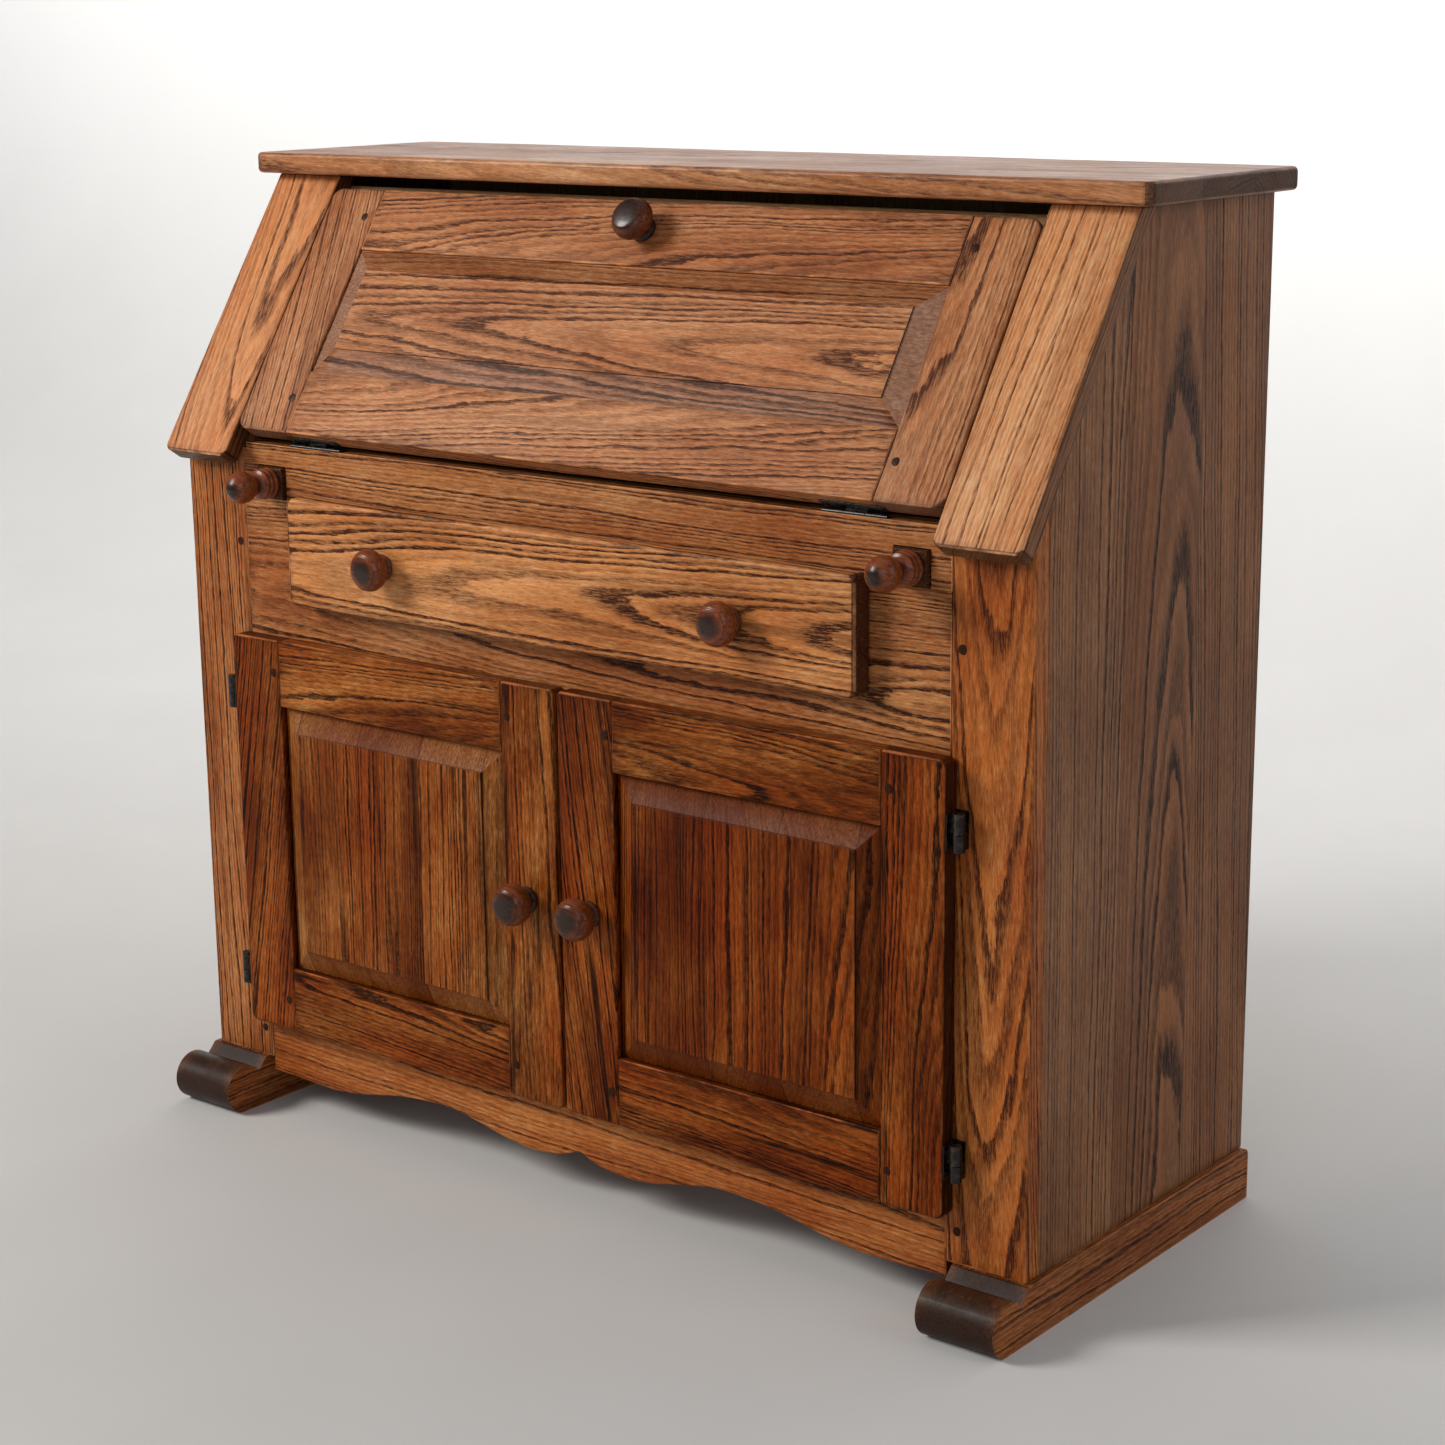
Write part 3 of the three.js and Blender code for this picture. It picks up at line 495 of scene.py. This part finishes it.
def carcass():
    board("top_board", "root", "top_oak", "flat_x", "crown", 4.6, 0.0, strip=0.094, soft=4.4, rough=0.5,
          wood=("top_oak", "side_oak"))
    board("back_panel", "root", "inner_wood", "front_z", "crown", 4, -0.2, strip=0.16, soft=0.6, rough=0)
    board("writing_board", "root", "fall_oak", "flat_x", "crown", 4.4, -0.05, strip=0.12, soft=1, rough=0)
    board("drawer_deck", "root", "inner_wood", "flat_x", "rift", 3.6, -0.1, strip=0.12, soft=1, rough=0)
    board("cupboard_floor", "root", "door_oak", "flat_x", "side_crown", 4, 0.0, strip=0.13, soft=1, rough=0)
    board("cupboard_shelf", "root", "door_oak", "flat_x", "side_crown", 4, 0.05, strip=0.11, soft=1.5,
          rough=0)
    board("fall_stop", "root", "inner_wood", "slope_x", "rift", 3, 0, soft=1.5, rough=0.2)
    board("pigeonhole_shelf", "root", "fall_oak", "flat_x", "side_crown", 4, 0, soft=1.5, rough=0.2)
    board("pigeonhole_divider", "root", "fall_oak", "side_z", "crown", 4, 0, soft=1.5, rough=0.2)
    board("top_rail", "root", "frame_oak", "front_x", tone=0.05, soft=1.2, rough=0.3,
          place=(-90, 60, 0.6, 0.5, 3.2))
    board("drawer_surround", "root", "frame_oak", "front_x", tone=0.02, soft=0.6, rough=0,
          place=(-18, 46, 0.5, 1.3, 3.3))
    board("apron", "root", "frame_oak", "front_x", tone=0.04, soft=1.8, rough=0.3,
          place=(48, 50, 1.0, 0.7, 3.8), wood=("stile_oak",))
    for name, sign in SIDES:
        board(f"side_{name}", "root", "side_oak", "side_z", "crown", 5.2, 0.0, strip=0.128, soft=0.8,
              rough=0.1)
        place = (6, 44, 0.6, 3.1, 4.6) if sign > 0 else (120, 110, 0.5, 0.6, 2.8)
        board(f"stile_{name}", "root", "frame_oak", "front_z", tone=0.0 if sign > 0 else -0.08, soft=1.4,
              rough=0.3, place=place, wood=("stile_oak" if sign > 0 else "frame_oak",))
        board(f"guide_{name}", "root", "inner_wood", "side_y", "rift", 3, -0.1, soft=0.8, rough=0)
    board("pilaster_left", "root", "pilaster_oak", "slope_up", tone=-0.16, soft=2.6, rough=0.7,
          place=(20, 55, 2, 2.4, 3.8), wood=("pilaster_oak", "side_oak"))
    board("pilaster_right", "root", "pilaster_oak", "slope_up", soft=2.6, rough=0.7,
          place=(150, 120, -2.0, 0.4, 3.4), wood=("pilaster_oak", "side_oak"))


FALL_GROOVE, DOOR_GROOVE = (3, 10), (9, 16)        # depths below the frame's face


def frame_and_panel(name, body, slot, groove, stile_axes, rail_axes, panel_axes, tones, **panel):
    """Stiles, rails and a raised panel of the fall or of a door."""
    for where, style in (("stile_left", "slant"), ("stile_right", "side_crown")):
        node = f"{name}_{where}"
        wood = (slot, "edge_oak") if node == "door_right_stile_right" else None
        board(node, body, slot, stile_axes, style, 3.4, tones[where], soft=2.2, rough=0.5,
              edges=outside(node, stile_axes, groove), wood=wood)
    for where in ("rail_bottom", "rail_top"):
        node = f"{name}_{where}"
        board(node, body, slot, rail_axes, "side_crown", 3.2, tones[where], soft=1.5, rough=0.35,
              edges=outside(node, rail_axes, groove))
    board(f"{name}_panel", body, slot, panel_axes, tone=tones["panel"], soft=0.5, rough=0,
          wood=(slot, "edge_oak", slot.replace("oak", "slope")), outward=AXES[panel_axes][2], **panel)


def fall_and_doors():
    tones = {"stile_left": 0.0, "stile_right": 0.04, "rail_bottom": 0.02, "rail_top": -0.04, "panel": 0.02}
    frame_and_panel("fall", "fall", "fall_oak", FALL_GROOVE, "slope_up", "slope_x", "slope_x", tones,
                    place=(-14, 42, 0.3, 1.6, 4.2))
    for name, sign in SIDES:
        tones = {"stile_left": -0.13, "stile_right": -0.16 if sign > 0 else 0.04,
                 "rail_bottom": -0.14 if sign > 0 else -0.05, "rail_top": 0.0 if sign > 0 else 0.05,
                 "panel": -0.18 if sign > 0 else 0.02}
        frame_and_panel(f"door_{name}", f"door_{name}", "door_oak", DOOR_GROOVE, "front_z", "front_x",
                        "front_z", tones, style="rift", spacing=3.4, strip=0.086)


def drawer():
    board("drawer_front", "drawer", "drawer_oak", "front_x", soft=4.2, rough=0.9,
          place=(-6, 36, -0.9, 1.9, 4.8), wood=("drawer_oak", "edge_oak"))
    for name, _ in SIDES:
        board(f"drawer_side_{name}", "drawer", "inner_wood", "side_y", "rift", 3, 0, soft=1, rough=0.1)
    board("drawer_back", "drawer", "inner_wood", "front_x", "rift", 3, 0, soft=1, rough=0.1)
    board("drawer_bottom", "drawer", "inner_wood", "flat_x", "crown", 4, 0.05, soft=0.4, rough=0)


# ---------- sledge feet ----------
RUNNER = {"back": 402, "high": 53.5, "roll_y": -36, "roll_r": 25.5, "pad": -3}
TOE_RIM = 3 * MM                          # the polish is rubbed off this near the toe's ends


def runners():
    """A bar whose front drops into a groove and rolls over; the toe is stained nearly black. The
    back's upper corner, the front of the flat and the long outer edge are eased."""
    profile = [(RUNNER["back"], 0), (RUNNER["back"], 46), (RUNNER["back"] - 2.2, 51.3),
               (RUNNER["back"] - 7, RUNNER["high"]), (RUNNER["pad"] + 1.5, RUNNER["high"]),
               (RUNNER["pad"] - 1, RUNNER["high"] - 0.9)]
    for degrees in range(36, 271, 6):
        turn = math.radians(degrees)
        profile.append((RUNNER["roll_y"] + RUNNER["roll_r"] * math.cos(turn),
                        RUNNER["roll_r"] * (1 + math.sin(turn))))
    for name, sign in SIDES:
        node = f"runner_{name}"
        low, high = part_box(node)
        bm = bmesh.new()
        rings = [[bm.verts.new((x, y * MM + SHIFT, z * MM)) for y, z in profile] for x in (low.x, high.x)]
        bm.faces.new(rings[0])
        bm.faces.new(reversed(rings[1]))
        for i in range(len(profile)):
            j = (i + 1) % len(profile)
            bm.faces.new((rings[0][i], rings[1][i], rings[1][j], rings[0][j]))
        bmesh.ops.recalc_face_normals(bm, faces=bm.faces)
        outer = high.x if sign > 0 else low.x
        rims = [e for e in bm.edges if all(abs(v.co.x - outer) < 1e-5 for v in e.verts)]
        long_top = [e for e in rims if min(v.co.z for v in e.verts) > RUNNER["high"] * MM - 1e-5
                    and max(v.co.y for v in e.verts) > 0.1]
        soften(bm, long_top, 6.5 * MM, 4)
        rims = [e for e in corners(bm) if abs(e.verts[0].co.x - e.verts[1].co.x) < 1e-5
                and max(v.co.z for v in e.verts) > 0.001]
        soften(bm, rims, 1.6 * MM, 2)
        slice_along(bm, X, 0.016)
        centre, half = frame_of(bm, AXES["side_y"])
        piece = make_piece(f"{node}_wood", bm, "root", "runner_oak", (node,), ("runner_oak", "toe_stain"))
        mesh = piece.data
        toe = (RUNNER["pad"] + 3) * MM + SHIFT
        for face in mesh.polygons:
            face.material_index = int(face.center.y < toe and abs(face.normal.x) < 0.6)
        # "high" for the toe: rises toward the top of its roll as a painted highlight, and is raised near its
        # ends, where the polish is rubbed off
        rolls = np.array([v.co.z for v in mesh.vertices]) / (RUNNER["high"] * MM)
        rim = np.array([min(v.co.x - low.x, high.x - v.co.x) < TOE_RIM for v in mesh.vertices])
        grain_attributes(mesh, AXES["side_y"], centre, half, node,
                         (120 * sign, 100, 0.4, 0.5, 3.2), 0.0, UNSTRIPPED,
                         np.clip(rolls - 0.45, 0, 0.5) + 0.5 * rim)


# ---------- turned work ----------
def lathe(profile, segments=56):
    """Closed solid of revolution about Z from [(radius, height)] in millimetres, pole to pole."""
    bm = bmesh.new()
    rings = []
    for r, h in profile:
        if r < 1e-6:
            rings.append([bm.verts.new((0, 0, h * MM))])
        else:
            turns = [2 * math.pi * i / segments for i in range(segments)]
            rings.append([bm.verts.new((r * MM * math.cos(a), r * MM * math.sin(a), h * MM)) for a in turns])
    for lower, upper in zip(rings, rings[1:]):
        for i in range(segments):
            j = (i + 1) % segments
            ring = [row[k % len(row)] for row, k in ((lower, i), (lower, j), (upper, j), (upper, i))]
            bm.faces.new(list(dict.fromkeys(ring)))
    bmesh.ops.recalc_face_normals(bm, faces=bm.faces)
    return bm


def curve(points, steps=5):
    """Smooth outline through the points (Catmull-Rom); a point given twice stays a sharp corner."""
    made = [points[0]]
    last = len(points) - 1
    for i in range(last):
        near = [points[max(0, min(last, k))] for k in (i - 1, i, i + 1, i + 2)]
        p0, p1, p2, p3 = (np.array(point, float) for point in near)
        if np.allclose(p1, p2):
            continue
        for k in range(1, steps + 1):
            u = k / steps
            at = 0.5 * (2 * p1 + (p2 - p0) * u + (2 * p0 - 5 * p1 + 4 * p2 - p3) * u * u
                        + (3 * p1 - p0 - 3 * p2 + p3) * u ** 3)
            made.append((max(0.0, float(at[0])), float(at[1])))
    return [*made[:-1], (0.0, points[-1][1])]


PULL = [(0, 0), (0, 0), (12.4, 0), (12.4, 0), (13.3, 1.2), (13.1, 3.0), (11.6, 4.8), (10.9, 6.4), (11.4, 8.0),
        (13.4, 9.6), (16.4, 11.4), (19.4, 14.2), (20.9, 18.0), (20.9, 21.8), (19.6, 25.6), (17.4, 28.4),
        (15.9, 29.5), (15.9, 29.5), (15.2, 30.4), (11, 31.4), (5, 31.9), (0, 32.0), (0, 32.0)]
BALL = [(0, 0), (0, 0), (15.2, 0), (15.2, 0), (16.1, 1.4), (16.0, 3.4), (14.8, 4.7), (14.6, 5.4), (14.6, 5.4),
        (15.8, 6.9), (15.7, 9.0), (14.6, 10.5), (14.4, 10.9), (14.4, 10.9), (15.2, 12.4), (14.8, 14.6),
        (11.6, 16.3), (9.4, 18.6), (8.8, 20.6), (9.6, 23.4), (12.6, 27.0), (15.3, 32.0), (16.3, 38.0),
        (15.3, 43.4), (12.3, 48.6), (7.8, 52.1), (3.8, 53.7), (0, 54.0), (0, 54.0)]


def pull(length):
    """Outline of a pull of a given length."""
    return [(r, h * length / PULL[-1][1]) for r, h in PULL]


def knob(name, node, body, profile, outward, rubbed):
    """Turned knob that stands on its CAD node's seat, pointing outward."""
    points = np.array([v.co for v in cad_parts[node].data.vertices], float).reshape(-1, 3)
    seat = float(np.min(points @ np.array(outward)))
    middle = Vector((points.min(0) + points.max(0)) / 2)
    at = middle + outward * (seat - middle.dot(outward))
    bm = lathe(curve(profile))
    axes = (X, outward.cross(X), outward)
    bm.transform(Matrix.Translation(at) @ Matrix(axes).transposed().to_4x4())
    centre, half = frame_of(bm, axes)
    radii = np.array([(v.co - at - outward * (v.co - at).dot(outward)).length for v in bm.verts])
    piece = make_piece(name, bm, body, "dark_wood", (node,), smooth=math.radians(50))
    pick = random.Random(name)
    place = (pick.uniform(-60, 60), pick.uniform(30, 60), pick.uniform(-20, 20), pick.uniform(-20, 20), 3)
    grain_attributes(piece.data, axes, centre, half, name, place, 0.0, UNSTRIPPED,
                     radii / radii.max() * rubbed)


def knobs():
    for name, _ in SIDES:
        knob(f"drawer_pull_{name}", f"drawer_knob_{name}", "drawer", pull(32), -Y, 1.15)
        knob(f"door_pull_{name}", f"door_{name}_knob", f"door_{name}", pull(37), -Y, 0.9)
        knob(f"loper_pull_{name}", f"loper_knob_{name}", f"loper_{name}", BALL, -Y, 1.25)
    knob("fall_pull", "fall_knob", "fall", pull(34.5), OUT, 0.7)


def lopers():
    for name, _ in SIDES:
        node = f"loper_{name}"
        bm = cad_copy(node, 0.01)
        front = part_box(node)[0].y
        soften(bm, [e for e in corners(bm) if all(v.co.y < front + 1e-4 for v in e.verts)], 3.4 * MM, 4)
        soften(bm, corners(bm, math.radians(60)), 1.2 * MM, 2)
        centre, half = frame_of(bm, AXES["side_y"])
        slice_along(bm, Y, 0.02)
        hand_worked(bm, AXES["side_y"], centre, half, 0.4 * MM, 4.0 + len(name))
        piece = make_piece(f"{node}_bar", bm, node, "dark_wood", (node,), ("loper_oak",))
        grain_attributes(piece.data, AXES["side_y"], centre, half, node,
                         (40, 60, 0.5, 0.5, 3), 0, UNSTRIPPED)


# ---------- pegs ----------
PEG_R = 4.6
STILE_PEGS = [(449, 620.5), (449, 85)]                  # across the front and up it
DOOR_PEGS = [(387, 492), (387, 135), (62, 492), (62, 135)]
FALL_PEGS = [(375, 281), (372, 72)]                     # across the front and up the slope
DOOR_FACE = -21


def pegs(name, body, axes, spots):
    """Dark hardwood pegs, driven through the joints and left a hair proud and not quite round."""
    along, across, outward = AXES[axes]
    pick = random.Random(name)
    whole = bmesh.new()
    for spot in spots:
        size = PEG_R * pick.uniform(0.88, 1.08)
        dome = [(0, -3), (size, -3), (size, -0.1), (size * 0.96, 0.22), (size * 0.7, 0.42), (0, 0.5)]
        bm = lathe(dome, 20)
        for v in bm.verts:
            angle = math.atan2(v.co.y, v.co.x)
            v.co.x *= 1 + 0.07 * math.sin(3 * angle + pick.random() * 0.2)
            v.co.y *= 1 + 0.08 * math.cos(2 * angle)
        turn = Matrix((across.cross(outward) * -1, across, outward)).transposed().to_4x4()
        bm.transform(Matrix.Translation(spot) @ turn)
        part = bpy.data.meshes.new("peg")
        bm.to_mesh(part)
        bm.free()
        whole.from_mesh(part)
        bpy.data.meshes.remove(part)
    centre, half = frame_of(whole, (along, across, outward))
    piece = make_piece(name, whole, body, "dark_wood", materials=("peg_wood",))
    grain_attributes(piece.data, (outward, along, across), centre, half, name,
                     (0, 30, 0, 0, 3), 0, UNSTRIPPED)


def front_spot(x, y, z):
    """A place given in millimetres, with y from the face frame's front plane."""
    return Vector((x * MM, y * MM + SHIFT, z * MM))


def all_pegs():
    for name, sign in SIDES:
        pegs(f"stile_pegs_{name}", "root", "front_z", [front_spot(x * sign, 0, z) for x, z in STILE_PEGS])
        pegs(f"door_pegs_{name}", f"door_{name}", "front_z",
             [front_spot(x * sign, DOOR_FACE, z) for x, z in DOOR_PEGS])
    spots = [SLOPE_FOOT + X * x * MM * sign + UP * u * MM for _, sign in SIDES for x, u in FALL_PEGS]
    pegs("fall_pegs", "fall", "slope_up", spots)


# ---------- metal ----------
def rounded_box(low, high, soft):
    bm = bmesh.new()
    bmesh.ops.create_cube(bm, size=1)
    low, high = Vector(low), Vector(high)
    for v in bm.verts:
        v.co = Vector([low[i] if v.co[i] < 0 else high[i] for i in range(3)])
    soften(bm, list(bm.edges), soft, 2)
    return bm


def merge(*parts):
    whole = bmesh.new()
    for bm in parts:
        part = bpy.data.meshes.new("part")
        bm.to_mesh(part)
        bm.free()
        whole.from_mesh(part)
        bpy.data.meshes.remove(part)
    return whole


def metal(name, bm, body, replaces=()):
    axes = (Z, X, Y)
    centre, half = frame_of(bm, axes)
    piece = make_piece(name, bm, body, "iron", replaces)
    grain_attributes(piece.data, axes, centre, half, name, (0, 0, 0, 0, 3), 0, UNSTRIPPED,
                     np.full(len(piece.data.vertices), HINGE_RUB))


def knuckle(r, tall):
    """Hinge barrel section with rounded rims."""
    rim = 0.6
    return lathe([(0, 0), (r - rim, 0), (r - 0.18, 0.18), (r, rim), (r, tall - rim), (r - 0.18, tall - 0.18),
                  (r - rim, tall), (0, tall)], 32)


def screw(at, outward, r):
    """Countersunk slotted screw head, just proud of its leaf."""
    bm = lathe([(0, -0.6), (r, -0.6), (r, 0.1), (r * 0.86, 0.38), (r * 0.5, 0.5), (0, 0.52)], 24)
    for v in bm.verts:
        if v.co.z > 0 and abs(v.co.y) < 0.5 * MM:
            v.co.z -= 0.35 * MM
    side = Z if abs(outward.z) < 0.5 else X
    turn = Matrix((side, outward.cross(side), outward)).transposed().to_4x4()
    bm.transform(Matrix.Translation(at) @ turn)
    return bm


# knuckle radius, the pin's place and radius, the height at which the knuckles part, the door's outer edge
DOOR_HINGE = {"r": 5.4, "pin_x": 456.5, "pin_y": -13.5, "pin_r": 2.4, "split": 16.0, "door_edge": 446.5}


def door_hinges():
    """Lift-off hinges: the lower knuckle and its leaf on the stile, the upper pair on the door."""
    r, pin_x, pin_y, pin_r, split, edge = DOOR_HINGE.values()
    for name, sign in SIDES:
        for row in ("top", "bottom"):
            node = f"door_{name}_hinge_{row}"
            low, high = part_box(node)
            base, tall = low.z / MM, (high.z - low.z) / MM

            def barrel(z, height, radius=r):
                bm = knuckle(radius, height)
                bm.transform(Matrix.Translation(front_spot(pin_x * sign, pin_y, z)))
                return bm

            def slab(x0, x1, y0, y1, z0, z1):
                a, b = sorted((x0 * sign, x1 * sign))
                return rounded_box(front_spot(a, y0, z0), front_spot(b, y1, z1), 0.4 * MM)

            fixed = [slab(pin_x - 20, pin_x + 1.5, -1.15, -0.05, base, base + tall),
                     barrel(base, split - 0.3), barrel(base + 1, tall - 2, pin_r),
                     slab(pin_x - 1.4, pin_x + 1.4, pin_y + 3, -0.6, base + 0.2, base + split - 0.5)]
            metal(f"hinge_{name}_{row}", merge(*fixed), "root", (node,))

            leaf = [barrel(base + split, tall - split),
                    slab(edge + 0.05, edge + 1.2, -20, -5, base + 1, base + tall - 1),
                    slab(edge + 0.8, pin_x, pin_y - 1.2, pin_y + 0.2, base + split + 0.3, base + tall - 0.3)]
            for z in (base + 7, base + tall - 7):
                leaf.append(screw(front_spot((edge + 1.2) * sign, -16, z), X * sign, 2.8))
            metal(f"hinge_leaf_{name}_{row}", merge(*leaf), f"door_{name}")


def plain(node, body, slot, soft):
    """Small CAD fitting with eased edges."""
    bm = cad_copy(node, 0.01)
    soften(bm, corners(bm, math.radians(60)), soft * MM, 2)
    centre, half = frame_of(bm, (X, Y, Z))
    piece = make_piece(node + "_fitting", bm, body, slot, (node,))
    grain_attributes(piece.data, (X, Y, Z), centre, half, node, (0, 0, 0, 0, 3), 0, UNSTRIPPED,
                     np.full(len(piece.data.vertices), FITTING_RUB))


def fittings():
    door_hinges()
    plain("door_catch", "root", "catch", 1.2)
    for name, _ in SIDES:
        plain(f"fall_hinge_plate_{name}", "root", "iron", 0.25)
        plain(f"fall_hinge_leaf_{name}", "fall", "iron", 0.25)


# ---------- studio ----------
EYE = (1.7777, -2.0154 + SHIFT, 1.1575)
AIM = (0.6681, -0.244, -0.0104)           # yaw, pitch and roll in radians
LENS = 71.9                               # on a 36 mm wide sensor
FLOOR = 9.0                               # half width of the floor, and its reach to the front
WALL_FOOT, SWEEP, WALL_TOP = 1.6, 1.2, 7.0         # where the floor turns up, its radius, and its top


def camera():
    yaw, pitch, roll = AIM
    forward = Vector((-math.sin(yaw) * math.cos(pitch), math.cos(yaw) * math.cos(pitch), math.sin(pitch)))
    right = Vector((math.cos(yaw), math.sin(yaw), 0))
    up = right.cross(forward)
    right, up = (right * math.cos(roll) + up * math.sin(roll), up * math.cos(roll) - right * math.sin(roll))
    data = bpy.data.cameras.new("camera")
    data.sensor_width = 36
    data.lens = LENS
    eye = bpy.data.objects.new("camera", data)
    eye.matrix_world = Matrix.Translation(EYE) @ Matrix((right, up, -forward)).transposed().to_4x4()
    bpy.context.scene.collection.objects.link(eye)
    bpy.context.scene.camera = eye


def area_light(name, at, target, size, power, colour=(1, 1, 1)):
    data = bpy.data.lights.new(name, "AREA")
    data.shape = "RECTANGLE"
    data.size, data.size_y = size
    data.energy = power
    data.color = colour
    lamp = bpy.data.objects.new(name, data)
    lamp.location = at
    lamp.rotation_euler = (Vector(target) - Vector(at)).to_track_quat("-Z", "Y").to_euler()
    bpy.context.scene.collection.objects.link(lamp)


def studio():
    bm = bmesh.new()
    steps = [(-FLOOR, 0.0), (WALL_FOOT, 0.0)]
    for turn in np.linspace(0.1, math.pi / 2, 14):
        steps.append((WALL_FOOT + SWEEP * math.sin(turn), SWEEP - SWEEP * math.cos(turn)))
    steps.append((WALL_FOOT + SWEEP, WALL_TOP))
    rows = [[bm.verts.new((x, y, z)) for x in (-FLOOR, FLOOR)] for y, z in steps]
    for a, b in zip(rows, rows[1:]):
        bm.faces.new((a[0], a[1], b[1], b[0]))
    mesh = bpy.data.meshes.new("floor")
    bm.to_mesh(mesh)
    bm.free()
    mesh.shade_smooth()
    floor = bpy.data.objects.new("floor", mesh)
    bpy.context.scene.collection.objects.link(floor)
    t = Tree("pale_floor")
    place = t.node("TexCoord").outputs["Object"]
    speck = t.noise(place, 4.0, 3.0)
    tone = t.mix(speck, (0.57, 0.56, 0.545), (0.62, 0.61, 0.595))
    tone = t.mix(t.step(t.node("SeparateXYZ", {0: place}).outputs[2], 0.1, 1.4), tone, (0.86, 0.855, 0.845))
    t.finish(tone, t.step(speck, 0, 1, 0.7, 0.8), t.bump(speck, 0.001, 0.05), Specular_IOR_Level=0.2)
    mesh.materials.append(t.material)

    world = bpy.data.worlds.new("world")
    world.use_nodes = True
    background = world.node_tree.nodes["Background"]
    background.inputs["Color"].default_value = (0.86, 0.92, 1.0, 1)
    background.inputs["Strength"].default_value = 0.16
    bpy.context.scene.world = world
    bpy.context.scene.view_settings.view_transform = "Standard"
    area_light("key", (-2.7, -2.9, 2.9), (0, 0, 0.5), (1.6, 1.6), 170, (1.0, 0.97, 0.93))
    area_light("fill", (2.0, -3.4, 1.9), (0, 0, 0.5), (2.4, 2.4), 26, (0.99, 0.985, 1.0))
    area_light("side", (3.4, 0.4, 1.8), (0.4, 0, 0.5), (1.8, 2.2), 19, (0.96, 0.975, 1.0))
    area_light("top", (0.2, -0.4, 3.6), (0, 0, 0.6), (2.6, 2.0), 6)
    area_light("wall", (-1.6, 0.8, 2.4), (-1.6, 2.8, 1.6), (8.0, 0.6), 108)


carcass()
fall_and_doors()
drawer()
runners()
knobs()
lopers()
all_pegs()
fittings()
studio()
camera()
